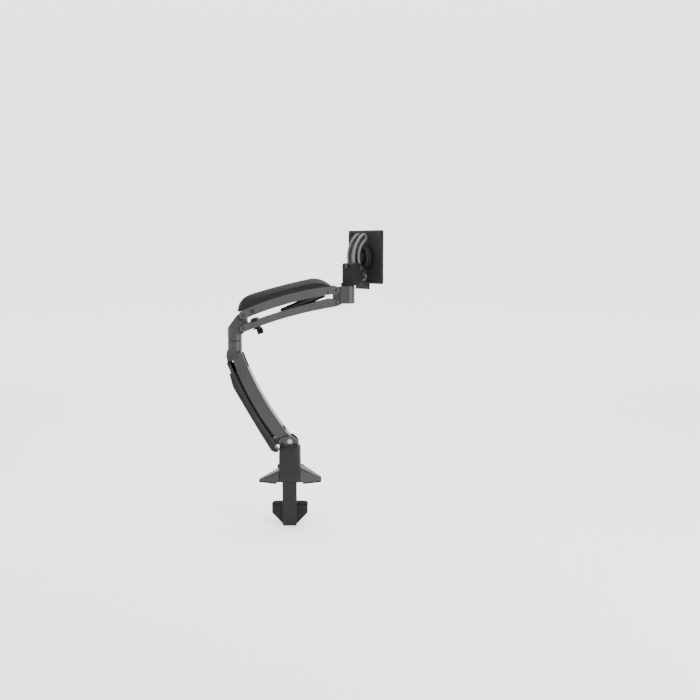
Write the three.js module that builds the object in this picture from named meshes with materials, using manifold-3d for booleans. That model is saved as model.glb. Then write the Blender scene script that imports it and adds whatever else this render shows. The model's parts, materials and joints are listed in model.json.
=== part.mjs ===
// Desk-clamp monitor arm with two parallelogram links and a tilting plate head.
// Millimetres, +Z up. Origin: on the desk top, on the axis of the base swivel.
// +X runs along the desk edge, +Y runs from the desk edge over the desk.
import * as THREE from 'three';
import { mergeVertices } from 'three/addons/utils/BufferGeometryUtils.js';
import { ConvexGeometry } from 'three/addons/geometries/ConvexGeometry.js';
import Module from 'manifold-3d';

const wasm = await Module();
wasm.setup();

// ---- driving dimensions --------------------------------------------------
const GAP = 0.3;                  // air between two pieces that touch
const SEGMENTS = 22;              // sides of a round piece
const DEG = Math.PI / 180;

const LINK_HALF = 15.5;           // half the width of both arms
const TONGUE_HALF = 11.6;         // half the width of what fits between cheeks
const SLOT_HALF = 4.7;            // half the slot that a spring rod runs in
const PIN_R = 3.5;                // pivot pins

const COLUMN_HALF = 23.5;         // square column
const COLUMN_BOTTOM = 7.3;
const SQUARE_TOP = 69;
const COLLAR_R = 23.4;
const COLLAR_TOP = 84;

const LOWER_PIVOT = new THREE.Vector2(1, 95);
const LOWER_OFFSET = new THREE.Vector2(-17.3, -2.6);   // second pivot from the first
const LOWER_LENGTH = 218.3;
const LOWER_ANGLE = 121.17 * DEG;

const ELBOW_X = -118.4;
const ELBOW_R = 15.6;
const ELBOW_SEAM = 316.5;

const UPPER_PIVOT = new THREE.Vector2(-98, 372);
const UPPER_SPACING = 28;         // second pivot straight below the first
const UPPER_LENGTH = 208.4;
const UPPER_ANGLE = 15.3 * DEG;

const END_X = 128.2;
const END_R = 15;
const END_BOTTOM = 397;
const END_TOP = 434.6;

const HUB_Z = 497;
const HEAD_TURN = 39 * DEG;
const PLATE_REACH = 51.6;         // swivel axis to the monitor side of the plate
const PLATE_SIDE = 116;
const PLATE_THICK = 3;
const TILT_CENTRE = 67.2;         // swivel axis to the tilt axis
const SLOT_R = 52;                // radius of the curved tilt slots

// ---- materials -----------------------------------------------------------
function finish(color, roughness, metalness) {
  return new THREE.MeshStandardMaterial({ color, roughness, metalness });
}
const PAINT = finish(0x5e5e60, 0.55, 0.3);
const DARK_PAINT = finish(0x3f3f41, 0.6, 0.2);
const COVER = finish(0x333335, 0.65, 0.0);
const BLACK_PLASTIC = finish(0x17181a, 0.6, 0.0);
const RUBBER = finish(0x101010, 0.9, 0.0);
const BLACK_STEEL = finish(0x1d1d1f, 0.4, 0.6);
const BRIGHT_STEEL = finish(0xa8a8aa, 0.3, 0.9);
const ZINC = finish(0x8a8a8c, 0.4, 0.8);

// ---- solids --------------------------------------------------------------
function solid(geometry) {
  const bare = geometry.clone();
  bare.deleteAttribute('normal');
  bare.deleteAttribute('uv');
  const merged = mergeVertices(bare, 1e-4);
  const vertProperties = new Float32Array(merged.attributes.position.array);
  const triVerts = new Uint32Array(merged.index.array);
  return new wasm.Manifold(new wasm.Mesh({ numProp: 3, vertProperties, triVerts }));
}

function join(...pieces) {
  return pieces.reduce((whole, piece) => whole.add(piece));
}

function cut(body, ...tools) {
  return tools.reduce((left, tool) => left.subtract(tool), body);
}

function block(x0, x1, y0, y1, z0, z1) {
  const box = new THREE.BoxGeometry(x1 - x0, y1 - y0, z1 - z0);
  return solid(box.translate((x0 + x1) / 2, (y0 + y1) / 2, (z0 + z1) / 2));
}

// A round bar along Y, with its centre at (x, z).
function barY(x, z, radius, y0, y1, sides = SEGMENTS) {
  const bar = new THREE.CylinderGeometry(radius, radius, y1 - y0, sides);
  return solid(bar.translate(x, (y0 + y1) / 2, z));
}

// A round bar along Z, with its centre at (x, y).
function barZ(x, y, radius, z0, z1, sides = SEGMENTS) {
  const bar = new THREE.CylinderGeometry(radius, radius, z1 - z0, sides);
  return solid(bar.rotateX(Math.PI / 2).translate(x, y, (z0 + z1) / 2));
}

// A round bar along X, with its centre at (y, z).
function barX(y, z, radius, x0, x1, sides = SEGMENTS) {
  const bar = new THREE.CylinderGeometry(radius, radius, x1 - x0, sides);
  return solid(bar.rotateZ(Math.PI / 2).translate((x0 + x1) / 2, y, z));
}

// A round bar in the XZ plane from (x0, z0) to (x1, z1).
function barBetween(x0, z0, x1, z1, radius, sides = 20) {
  const run = new THREE.Vector3(x1 - x0, 0, z1 - z0);
  const bar = new THREE.CylinderGeometry(radius, radius, run.length(), sides);
  const turn = new THREE.Quaternion().setFromUnitVectors(
    new THREE.Vector3(0, 1, 0), run.clone().normalize());
  return solid(bar.applyQuaternion(turn).translate((x0 + x1) / 2, 0, (z0 + z1) / 2));
}

// An outline in XZ carried along Y.
function slabY(outline, y0, y1) {
  const slab = new THREE.ExtrudeGeometry(outline,
    { depth: y1 - y0, bevelEnabled: false, curveSegments: 3 });
  return solid(slab.rotateX(Math.PI / 2).translate(0, y1, 0));
}

// An outline in XY carried along Z.
function slabZ(outline, z0, z1) {
  const slab = new THREE.ExtrudeGeometry(outline,
    { depth: z1 - z0, bevelEnabled: false, curveSegments: 3 });
  return solid(slab.translate(0, 0, z0));
}

// A closed outline through corners [a, b, r]; r is how far back a corner is rounded.
function rounded(corners) {
  const outline = new THREE.Shape();
  corners.forEach(([a, b, r = 0], i) => {
    const corner = new THREE.Vector2(a, b);
    const before = new THREE.Vector2(...corners.at(i - 1).slice(0, 2));
    const after = new THREE.Vector2(...corners[(i + 1) % corners.length].slice(0, 2));
    const reach = Math.min(r, 0.48 * before.distanceTo(corner), 0.48 * after.distanceTo(corner));
    const start = corner.clone().add(before.sub(corner).setLength(reach));
    const end = corner.clone().add(after.sub(corner).setLength(reach));
    if (i === 0) outline.moveTo(start.x, start.y);
    else outline.lineTo(start.x, start.y);
    if (r > 0) outline.quadraticCurveTo(corner.x, corner.y, end.x, end.y);
  });
  outline.closePath();
  return outline;
}

// Points of a parabola from a to b that stands bow above the chord halfway.
function arch([x0, z0], [x1, z1], bow, steps = 8) {
  return Array.from({ length: steps + 1 }, (_, i) => {
    const t = i / steps;
    return [x0 + (x1 - x0) * t, z0 + (z1 - z0) * t + bow * 4 * t * (1 - t)];
  });
}

// A bowed bar's outline between an upper and a lower arch.
function bowed(top, bottom) {
  return rounded([...top, ...bottom.slice().reverse()]);
}

function lifted(points, dz) {
  return points.map(([x, z]) => [x, z + dz]);
}

const arm = new THREE.Group();

// Puts a solid into the scene graph as a named mesh.
function place(group, name, body, material) {
  const { vertProperties, triVerts } = body.getMesh();
  const geometry = new THREE.BufferGeometry();
  geometry.setAttribute('position', new THREE.BufferAttribute(vertProperties, 3));
  geometry.setIndex(new THREE.BufferAttribute(triVerts, 1));
  geometry.computeVertexNormals();
  const mesh = new THREE.Mesh(geometry, material);
  mesh.name = name;
  group.add(mesh);
}

// A group whose X axis runs along a link that starts at a pivot.
function linkGroup(pivot, angle) {
  const group = new THREE.Group();
  group.position.set(pivot.x, 0, pivot.y);
  group.rotation.y = -angle;
  arm.add(group);
  return group;
}

// A socket screw along Z: head above the shank, with its recess cut in the head.
function socketScrewZ(x, y, headR, headZ0, headZ1, shankR, shankZ0) {
  const body = join(barZ(x, y, headR, headZ0, headZ1), barZ(x, y, shankR, shankZ0, headZ0 + 0.1, 16));
  return cut(body, barZ(x, y, headR * 0.55, headZ1 - headR * 0.7, headZ1 + 1, 6));
}

// ---- base: column, foot, pad ---------------------------------------------
const STRIP_HALF = 15.8;
const STRIP_FRONT = -22;
const STRIP_BACK = -17.5;
const NUT_BACK = -7.5;
const SCREW_Y = -12.5;            // axis of the clamp screw
const BORE_R = 7.5;               // collar bore for the bush
const FOOT_SCREW = [13, 14];

function buildColumn() {
  const side = COLUMN_HALF;
  const square = (r) => rounded([[-side, -side, r], [side, -side, r], [side, side, r], [-side, side, r]]);
  const body = join(
    slabZ(square(9), COLUMN_BOTTOM, SQUARE_TOP),
    slabZ(square(21), SQUARE_TOP - 1, COLLAR_TOP - 1.6),
    barZ(0, 0, COLLAR_R, SQUARE_TOP - 1, COLLAR_TOP, 40));
  const screwHoles = [-1, 1].map((s) =>
    barZ(s * FOOT_SCREW[0], FOOT_SCREW[1], 2.8, COLUMN_BOTTOM - 1, 26, 16));
  place(arm, 'base_column', cut(body,
    block(-STRIP_HALF - GAP, STRIP_HALF + GAP, STRIP_FRONT - GAP, STRIP_BACK + GAP, 0, 66.5),
    block(-9.4, 9.4, STRIP_BACK, NUT_BACK + GAP, 0, 66.5),
    barZ(0, 0, BORE_R, 70, COLLAR_TOP + 1),
    barZ(0, SCREW_Y, 2.9, 60, 78, 16),
    barZ(0, SCREW_Y, 4.3, 75, COLLAR_TOP + 1, 20),
    ...screwHoles), DARK_PAINT);
}

// One wing: a wedge that drops from the column to a low tip, swept back.
function wing(side, root, tip) {
  const x0 = side * (COLUMN_HALF + GAP);
  const x1 = side * 69;
  const corners = [
    [x0, -21, 2.8], [x0, 27, 2.8], [x0, -21, root - 6], [x0, -16, root], [x0, 20, root], [x0, 27, root - 4],
    [x1, -2, 2.8], [x1, 15, 2.8], [x1, -2, tip - 1.5], [x1, 0, tip], [x1, 13, tip], [x1, 15, tip - 1],
  ].map((corner) => new THREE.Vector3(...corner));
  return solid(new ConvexGeometry(corners));
}

function buildFoot() {
  const bodies = join(wing(-1, 30, 5.5), wing(1, 37.5, 10),
    block(-30, 30, -3, 27, 2.8, COLUMN_BOTTOM - GAP),
    block(-30, 30, COLUMN_HALF + GAP, 29, 2.8, 34));
  const counterbores = [-1, 1].flatMap((s) => [
    barZ(s * FOOT_SCREW[0], FOOT_SCREW[1], 2.8, 0, 10, 16),
    barZ(s * FOOT_SCREW[0], FOOT_SCREW[1], 4.6, 0, 5, 20)]);
  place(arm, 'base_foot', cut(bodies,
    block(-29, 29, -40, -3, 0, COLUMN_BOTTOM), ...counterbores), PAINT);
  const plan = rounded([[-29, -18.9], [-29, -3], [29, -3], [29, -18.9], [69, -2, 2],
    [69, 15, 3], [30, 28, 4], [-30, 28, 4], [-69, 15, 3], [-69, -2, 2]]);
  place(arm, 'foot_pad', slabZ(plan, 0, 2.5), RUBBER);
  for (const [name, s] of [['foot_screw_left', -1], ['foot_screw_right', 1]]) {
    const head = barZ(s * FOOT_SCREW[0], FOOT_SCREW[1], 4.2, 2.8, 4.7, 20);
    const shank = barZ(s * FOOT_SCREW[0], FOOT_SCREW[1], 2.4, 4.5, 24, 16);
    place(arm, name, join(head, shank), ZINC);
  }
}

// ---- clamp: sliding strip, nut, jaw, pad, screws --------------------------
const JAW_HOLES = [-65.5, -82.8];
const JAW_HALF = 39.3;
const JAW_TOP = -43.6;

function buildClamp() {
  const strip = slabY(rounded([[-STRIP_HALF, 35, 2], [STRIP_HALF, 35, 2],
    [STRIP_HALF, -88, 1], [14.5, -92.7, 1], [-14.5, -92.7, 1], [-STRIP_HALF, -88, 1]]),
    STRIP_FRONT, STRIP_BACK);
  const holes = JAW_HOLES.map((z) => barY(0, z, 3.4, STRIP_FRONT - 1, 0, 20));
  place(arm, 'clamp_strip', cut(strip, ...holes), DARK_PAINT);

  const nut = block(-9, 9, STRIP_BACK + GAP, NUT_BACK, 22, 34.7);
  place(arm, 'clamp_nut', cut(nut, barZ(0, SCREW_Y, 2.9, 20, 36, 16)), ZINC);

  const face = slabY(rounded([[-JAW_HALF, -46.8], [JAW_HALF, -46.8], [JAW_HALF, -65, 2],
    [16.5, -89, 2], [-16.5, -89, 2], [-JAW_HALF, -65, 2]]), STRIP_BACK + GAP, -8);
  const shelf = slabZ(rounded([[-JAW_HALF, -17], [JAW_HALF, -17], [JAW_HALF, 1, 4],
    [32, 7, 4], [-32, 7, 4], [-JAW_HALF, 1, 4]]), -52, -46.8);
  const rib = (x) => slabY(rounded([[-8.2, -51.5], [5, -51.5], [-8.2, -76]]), -2.5, 2.5)
    .rotate([0, 0, 90]).translate([x, 0, 0]);
  const jaw = join(face, shelf, rib(-24), rib(24));
  place(arm, 'clamp_jaw', cut(jaw, ...JAW_HOLES.map((z) => barY(0, z, 3.3, -20, 0, 20))), DARK_PAINT);

  const padPlan = rounded([[-JAW_HALF, -16.9], [JAW_HALF, -16.9], [JAW_HALF, 1, 4],
    [32, 7, 4], [-32, 7, 4], [-JAW_HALF, 1, 4]]);
  place(arm, 'jaw_pad', slabZ(padPlan, -46.5, JAW_TOP), RUBBER);

  for (const [name, z] of [['jaw_screw_upper', JAW_HOLES[0]], ['jaw_screw_lower', JAW_HOLES[1]]]) {
    const shank = barY(0, z, 3, STRIP_FRONT + 0.8, -9.5, 20);
    place(arm, name, cut(shank, barY(0, z, 1.7, STRIP_FRONT, STRIP_FRONT + 3.5, 6)), BLACK_STEEL);
  }
  place(arm, 'clamp_screw', socketScrewZ(0, SCREW_Y, 3.9, 75.3, 80, 2.4, 12), ZINC);
}

// ---- turret on the column -------------------------------------------------
const [OX, OZ] = [LOWER_OFFSET.x, LOWER_OFFSET.y];
const SADDLE_X = LOWER_PIVOT.x + 0.57 * OX;       // where the lower spring rod presses

function buildTurret() {
  const bush = join(barZ(0, 0, 20.5, COLLAR_TOP + GAP, COLLAR_TOP + 1.1, 26),
    barZ(0, 0, BORE_R - GAP, 71, COLLAR_TOP + 0.6, 24));
  const screwGate = barZ(0, SCREW_Y, 4.3, COLLAR_TOP - 1, COLLAR_TOP + 2, 16);
  place(arm, 'swivel_bush', cut(bush, barZ(0, 0, 5.5, 70, 90, 24), screwGate), BLACK_PLASTIC);

  const floor = barZ(0, 0, 21, COLLAR_TOP + 1.4, COLLAR_TOP + 2.4, 28);
  const { x, y: z } = LOWER_PIVOT;
  const cheekOutline = rounded([[x + 18.5, COLLAR_TOP + 1.5], [x + 16.5, z + 3, 8], [x + 5, z + 12.5, 8],
    [x - 6, z + 11, 8], [x + OX - 6.8, z + OZ + 9, 7], [x + OX - 6.8, COLLAR_TOP + 1.5]]);
  const cheeks = slabY(cheekOutline, -LINK_HALF, LINK_HALF)
    .subtract(block(-60, 60, -TONGUE_HALF - GAP, TONGUE_HALF + GAP, 80, 120));
  const stub = barZ(0, 0, 5.2, 71, COLLAR_TOP + 2, 24);
  const saddle = block(SADDLE_X - 3.5, SADDLE_X + 4, -4, 4, COLLAR_TOP + 2, 88.6);
  place(arm, 'swivel_turret', cut(join(floor, cheeks, stub, saddle),
    barY(x, z, PIN_R + GAP, -30, 30, 20),
    barY(x + OX, z + OZ, PIN_R + GAP, -30, 30, 20)), PAINT);
  pivotPin(arm, 'lower_main_pin', x, z, LINK_HALF + 1.2, BRIGHT_STEEL);
  pivotPin(arm, 'lower_outer_pin', x + OX, z + OZ, LINK_HALF - 0.3, BLACK_STEEL);
}

// A pivot pin along Y with a hexagon recess in each end.
function pivotPin(group, name, x, z, half, material) {
  const pin = barY(x, z, PIN_R, -half, half, 20);
  const recess = (side) => barY(x, z, 1.8, side * half - 1.6, side * half + 1.6, 6);
  place(group, name, cut(pin, recess(-1), recess(1)), material);
}

// ---- lower arm --------------------------------------------------------------
const SPRING_PIN_X = 190;
const SPRING_Z = 9.6;             // spring axis above the lower link's pivot line
const SPRING_R = 7;
const SPRING_MOUTH = 64;
const SPRING_FOOT = 3.4;          // the rod's rounded end, over the turret's saddle

function buildLowerLink() {
  const group = linkGroup(LOWER_PIVOT, LOWER_ANGLE);
  const end = LOWER_LENGTH;
  const top = arch([12, 20.5], [205, 14.5], 8);
  const bottom = arch([-2, -8], [end, -13], 9.5);
  const outer = join(
    slabY(rounded([[-3, -7.6], ...bottom.slice(1), [end + 9, -6, 3], [end + 5, 9, 4],
      ...top.slice().reverse(), [4, 9, 3], [-6, 6, 3]]), -LINK_HALF, LINK_HALF));
  const inside = TONGUE_HALF + GAP;
  const pocket = slabY(rounded([...lifted(arch([26, -8], [end - 24, -12], 10), 2.6),
    [end - 16, -40], [end + 40, -40], [end + 40, 60], [9, 60], [9, 7.5], [26, 7.5]]), -inside, inside);
  const besideTurret = [[-40, -TONGUE_HALF], [TONGUE_HALF, 40]].map(([y0, y1]) =>
    barY(0, 0, 18.5, y0, y1, 36).add(barY(6.7, 16.1, 12.5, y0, y1, 24)));
  const link = cut(outer, pocket, ...besideTurret,
    block(-40, 27, -SLOT_HALF, SLOT_HALF, -4, 60),
    block(-8, 14, -40, 40, 8.4, 40),
    barY(0, 0, PIN_R + GAP, -40, 40, 20),
    barY(end, 0, PIN_R + GAP, -40, 40, 20),
    barY(SPRING_PIN_X, SPRING_Z, 2.8, -40, 40, 16));
  const eyeTrim = cut(block(-40, 12, -40, 40, -40, -0.1),
    barY(0, 0, 8.3, -41, 41), block(0, 13, -41, 41, -8.3, 0));
  place(group, 'lower_main_link', link.subtract(eyeTrim), PAINT);

  const cylinder = join(barX(0, SPRING_Z, SPRING_R, SPRING_MOUTH, SPRING_PIN_X - 9, 20),
    block(SPRING_PIN_X - 10, SPRING_PIN_X, -4, 4, SPRING_Z - 5, SPRING_Z + 5),
    barY(SPRING_PIN_X, SPRING_Z, 5, -4, 4, 20));
  place(group, 'lower_spring_cylinder', cut(cylinder,
    barX(0, SPRING_Z, 3.4, SPRING_MOUTH - 1, SPRING_MOUTH + 60, 16),
    barY(SPRING_PIN_X, SPRING_Z, 2.8, -10, 10, 16)), BLACK_STEEL);
  place(group, 'lower_spring_pin', barY(SPRING_PIN_X, SPRING_Z, 2.5, -14.5, 14.5, 16), BLACK_STEEL);
  place(group, 'lower_spring_rod', join(
    barX(0, SPRING_Z, 3, SPRING_FOOT, SPRING_MOUTH + 42, 16),
    barY(SPRING_FOOT, SPRING_Z, 3.4, -4, 4, 20)), BRIGHT_STEEL);
}

function buildOuterLink() {
  const pivot = LOWER_PIVOT.clone().add(LOWER_OFFSET);
  const group = linkGroup(pivot, LOWER_ANGLE);
  const end = LOWER_LENGTH;
  const right = arch([2, 12.6], [208, 4.2], 6);
  const left = arch([2, 18.6], [212, 11], 6.4);
  const strip = slabY(bowed(left, right), -LINK_HALF, LINK_HALF);
  const root = slabY(rounded([[-5.6, -2, 2], [-2, -5.6, 2], [5, -6.5, 4], [16, 15], [5, 18], [-3, 5, 2]]),
    -TONGUE_HALF, TONGUE_HALF);
  const tip = slabY(rounded([[196, 6], [206, 11.6, 1], [end + 4, 7, 4], [end + 6.3, -3, 4],
    [end - 2, -6.4, 4], [end - 8, 0, 3]]), -4.4, 4.4);
  const link = cut(join(strip, root, tip),
    block(-20, 16, -SLOT_HALF, SLOT_HALF, -20, 12.4),
    barY(0, 0, PIN_R + GAP, -40, 40, 20),
    barY(end, 0, PIN_R + GAP, -40, 40, 20));
  place(group, 'lower_outer_link', link, PAINT);

  const shellInner = lifted(left.slice(0, -1), GAP);
  const shell = slabY(rounded([...shellInner, [188, 20, 2], [163, 28.6, 4], [-7, 31.8, 5], [-13, 21.6, 3]]),
    -LINK_HALF, LINK_HALF);
  const hollow = slabY(rounded([[8, 10], [150, 10], [150, 25.5], [8, 28]]), -12.5, 12.5);
  place(group, 'lower_cover', shell.subtract(hollow), COVER);
}

// ---- elbow ------------------------------------------------------------------
const SHAFT_R = 5.2;
const SEAM_LOW = ELBOW_SEAM - 0.8;
const SEAM_HIGH = ELBOW_SEAM + 0.8;
const E1 = new THREE.Vector2(
  LOWER_PIVOT.x + LOWER_LENGTH * Math.cos(LOWER_ANGLE),
  LOWER_PIVOT.y + LOWER_LENGTH * Math.sin(LOWER_ANGLE));
const E2 = E1.clone().add(LOWER_OFFSET);

function buildElbow() {
  const lowerTongue = slabY(rounded([[E2.x - 5, 296], [E2.x - 7.5, E2.y, 4], [E2.x - 2, E2.y - 7.6, 4],
    [E1.x + 2, E1.y - 8.4, 4], [E1.x + 8, E1.y, 4], [-104, 296]]), -TONGUE_HALF, TONGUE_HALF);
  const lower = join(barZ(ELBOW_X, 0, ELBOW_R, 294.5, SEAM_LOW, 32), lowerTongue);
  place(arm, 'elbow_knuckle_lower', cut(lower,
    barZ(ELBOW_X, 0, SHAFT_R + GAP, 299, 320, 24),
    block(-160, E2.x + 9.2, -4.9, 4.9, 240, 292),
    barY(E1.x, E1.y, PIN_R + GAP, -30, 30, 20),
    barY(E2.x, E2.y, PIN_R + GAP, -30, 30, 20)), PAINT);
  pivotPin(arm, 'elbow_main_pin', E1.x, E1.y, LINK_HALF - 0.3, BLACK_STEEL);
  pivotPin(arm, 'elbow_outer_pin', E2.x, E2.y, TONGUE_HALF - 0.3, BLACK_STEEL);
  place(arm, 'elbow_shaft', barZ(ELBOW_X, 0, SHAFT_R, 299.3, 338, 24), BRIGHT_STEEL);
  place(arm, 'elbow_bush', cut(barZ(ELBOW_X, 0, 13.2, SEAM_LOW + GAP, SEAM_HIGH - GAP, 32),
    barZ(ELBOW_X, 0, SHAFT_R + GAP, 300, 330, 24)), BLACK_PLASTIC);

  const { x, y: z } = UPPER_PIVOT;
  const z2 = z - UPPER_SPACING;
  const neck = slabY(rounded([[ELBOW_X - ELBOW_R, SEAM_HIGH], [ELBOW_X - ELBOW_R, 343, 5], [-111, 373, 3],
    [x, z + 7.5, 5], [x + 7.5, z, 5], [x + 7.5, z2, 5], [x + 3, z2 - 7.5, 4], [ELBOW_X + ELBOW_R, 329],
    [ELBOW_X + ELBOW_R, SEAM_HIGH]]), -ELBOW_R, ELBOW_R);
  const column = barZ(ELBOW_X, 0, ELBOW_R, SEAM_HIGH, 382, 32)
    .add(block(ELBOW_X, -60, -ELBOW_R, ELBOW_R, 331, 390));
  const sideCuts = [[-40, -TONGUE_HALF], [TONGUE_HALF, 40]].flatMap(([y0, y1]) => [
    barY(x, z, 12.6, y0, y1, 32), barY(x, z2, 10, y0, y1, 32),
    block(x, 0, y0, y1, 300, 400)]);
  place(arm, 'elbow_knuckle_upper', cut(neck.intersect(column), ...sideCuts,
    barZ(ELBOW_X, 0, SHAFT_R + GAP, 310, 338.5, 24),
    block(x - 6.5, 0, -SLOT_HALF, SLOT_HALF, 335, 363),
    barY(x, z, PIN_R + GAP, -30, 30, 20),
    barY(x, z2, PIN_R + GAP, -30, 30, 20)), PAINT);
  pivotPin(arm, 'upper_main_pin', x, z, LINK_HALF - 0.3, BLACK_STEEL);
  for (const [name, side] of [['support_pin_near', -1], ['support_pin_far', 1]]) {
    const [y0, y1] = [side * 5, side * (LINK_HALF - 0.3)].sort((a, b) => a - b);
    place(arm, name, barY(x, z2, PIN_R, y0, y1, 20), BLACK_STEEL);
  }
}

// ---- upper arm --------------------------------------------------------------
const STRUT_PIN = [190, 0];       // in the upper link's frame
const STRUT_FOOT = [2, -27];      // where the rod presses, close to the support pivot
const STRUT_R = 8;
const STRUT_MOUTH = 0.42;         // share of the strut's length taken by the bare rod

function alongStrut(share) {
  return STRUT_FOOT.map((value, i) => value + (STRUT_PIN[i] - value) * share);
}

function buildUpperLink() {
  const group = linkGroup(UPPER_PIVOT, UPPER_ANGLE);
  const end = UPPER_LENGTH;
  const top = arch([-4, 9.5], [end - 4, 10], 8.5);
  const bottom = arch([0, -8.2], [end, -8.2], 7);
  const outer = slabY(rounded([[-9.5, 4, 3], ...top, [end + 8.5, 3, 4], [end + 7, -6, 4],
    ...bottom.slice().reverse(), [-8.5, -4, 3]]), -LINK_HALF, LINK_HALF);
  const inside = TONGUE_HALF + GAP;
  const ceiling = lifted(arch([12.6, 11], [end - 14, 10.2], 7), -3);
  const pocket = slabY(rounded([[-40, -40], [-40, 30], [12.6, 30], ...ceiling,
    [end - 13, 30], [end + 30, 30], [end + 30, -40]]), -inside, inside);
  place(group, 'upper_link', cut(outer, pocket,
    barY(0, 0, PIN_R + GAP, -40, 40, 20),
    barY(end, 0, PIN_R + GAP, -40, 40, 20),
    barY(...STRUT_PIN, 2.8, -40, 40, 16)), PAINT);

  const coverFloor = lifted(arch([-4, 9.5], [end - 4, 10], 8.5).slice(0, -1), GAP);
  const shell = slabY(rounded([...coverFloor, [195, 20, 6], [176, 35, 9], [100, 38.6, 30],
    [30, 37.6, 16], [0, 31, 12], [-9, 14, 3]]), -LINK_HALF, LINK_HALF);
  const cavity = rounded([[8, 5], [170, 5], [165, 31.5], [100, 35.6], [30, 33.5], [8, 27]]);
  const hollow = slabY(cavity, -12.5, 12.5);
  place(group, 'upper_cover', shell.subtract(hollow), COVER);

  const mouth = alongStrut(STRUT_MOUTH);
  const neck = alongStrut(0.95);
  const inner = alongStrut(0.8);
  const cylinder = join(barBetween(...mouth, ...neck, STRUT_R),
    barY(...STRUT_PIN, 5, -4, 4, 20), barBetween(...neck, ...STRUT_PIN, 4, 12));
  place(group, 'gas_strut_cylinder', cut(cylinder,
    barBetween(...alongStrut(STRUT_MOUTH - 0.01), ...inner, 3.6, 16),
    barY(...STRUT_PIN, 2.8, -10, 10, 16)), BLACK_STEEL);
  place(group, 'gas_strut_rod', join(
    barBetween(...STRUT_FOOT, ...alongStrut(0.64), 3.2, 16),
    barY(...STRUT_FOOT, 4.2, -4, 4, 20)), BRIGHT_STEEL);
  place(group, 'gas_strut_pin', barY(...STRUT_PIN, 2.5, -LINK_HALF - 0.8, LINK_HALF + 0.8, 16), BLACK_STEEL);
}

function buildSupportLink() {
  const pivot = new THREE.Vector2(UPPER_PIVOT.x, UPPER_PIVOT.y - UPPER_SPACING);
  const group = linkGroup(pivot, UPPER_ANGLE);
  const end = UPPER_LENGTH;
  const top = arch([2, 7.6], [end - 14, 12.6], 3.4);
  const bottom = arch([0, -8.2], [end - 2, -7.6], 5.6);
  const outer = slabY(rounded([[-8.4, 3, 3], ...top, [end - 5, 9, 4], [end + 8, 4, 4], [end + 7, -6, 4],
    ...bottom.slice().reverse(), [-8, -5, 3]]), -LINK_HALF, LINK_HALF);
  const inside = TONGUE_HALF + GAP;
  const floor = lifted(arch([14, -6.8], [end - 14, -6.2], 4.4), 2);
  const pocket = slabY(rounded([[-40, 40], [-40, -40], [14, -40], ...floor,
    [end - 12, -40], [end + 30, -40], [end + 30, 40]]), -inside, inside);
  place(group, 'support_link', cut(outer, pocket,
    block(13, 128, -9, 9, -20, 4),
    barY(0, 0, PIN_R + GAP, -40, 40, 20),
    barY(end, 0, PIN_R + GAP, -40, 40, 20)), PAINT);

  const clipX = 27;
  const band = cut(block(clipX - 7, clipX + 7, -18, 18, -9.5, 14.6),
    block(clipX - 9, clipX + 9, -LINK_HALF - GAP, LINK_HALF + GAP, -7.3, 11.3),
    block(clipX - 9, clipX + 3.5, -10, 10, 0, 20),
    block(clipX - 9, clipX + 9, -20, -LINK_HALF - GAP, -7.3, 7.6));
  const hook = cut(block(clipX - 1, clipX + 11, -9, 9, -22, -9),
    block(clipX - 3, clipX + 13, -6.5, 6.5, -19.5, -11.7));
  place(group, 'cable_clip', cut(join(band, hook),
    block(clipX - 9, clipX + 13, -4.5, 4.5, -10.4, 0),
    block(clipX + 2, clipX + 20, -20, -6, -17, -13)), BLACK_PLASTIC);

  const saddleSide = rounded([[-104.1, 338, 2], [-95.5, 338, 1], [-95.5, 355, 1], [-104.1, 359, 2]]);
  const saddle = slabY(saddleSide, -4.4, 4.4);
  const screwHole = barX(0, 346.5, 2.4, -110, -90, 16);
  place(arm, 'tension_saddle', saddle.subtract(screwHole), ZINC);
  const screw = barX(0, 346.5, 2.1, -103.6, -95.7, 16);
  place(arm, 'tension_screw', screw, BRIGHT_STEEL);
}

// ---- end knuckle --------------------------------------------------------------
const W1 = new THREE.Vector2(
  UPPER_PIVOT.x + UPPER_LENGTH * Math.cos(UPPER_ANGLE),
  UPPER_PIVOT.y + UPPER_LENGTH * Math.sin(UPPER_ANGLE));
const W2 = new THREE.Vector2(W1.x, W1.y - UPPER_SPACING);

function buildEndKnuckle() {
  const body = block(W1.x + 9.2, END_X, -END_R, END_R, END_BOTTOM, END_TOP);
  const tongue = slabY(rounded([[W1.x - 7.6, W1.y + 6.5, 5], [W1.x + 12, W1.y + 6.5], [W1.x + 12, W2.y - 3],
    [W2.x + 3, W2.y - 7.6, 4], [W2.x - 7.6, W2.y - 7.6, 5]]), -TONGUE_HALF, TONGUE_HALF);
  const sideCuts = [[-40, -TONGUE_HALF], [TONGUE_HALF, 40]].flatMap(([y0, y1]) => [
    barY(W1.x, W1.y, 10.4, y0, y1, 32), barY(W2.x, W2.y, 10.4, y0, y1, 32)]);
  place(arm, 'end_knuckle', cut(join(body, barZ(END_X, 0, END_R, END_BOTTOM, END_TOP, 36), tongue),
    ...sideCuts,
    barZ(END_X, 0, SHAFT_R + GAP, END_BOTTOM + 4, END_TOP + 4, 24),
    barY(W1.x, W1.y, PIN_R + GAP, -30, 30, 20),
    barY(W2.x, W2.y, PIN_R + GAP, -30, 30, 20)), PAINT);
  pivotPin(arm, 'end_main_pin', W1.x, W1.y, LINK_HALF - 0.3, BLACK_STEEL);
  pivotPin(arm, 'end_support_pin', W2.x, W2.y, LINK_HALF - 0.3, BLACK_STEEL);
  place(arm, 'head_bush', cut(barZ(END_X, 0, 14, END_TOP + GAP, END_TOP + 1, 32),
    barZ(END_X, 0, SHAFT_R + GAP, END_TOP - 2, END_TOP + 4, 24)), BLACK_PLASTIC);
}

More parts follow.
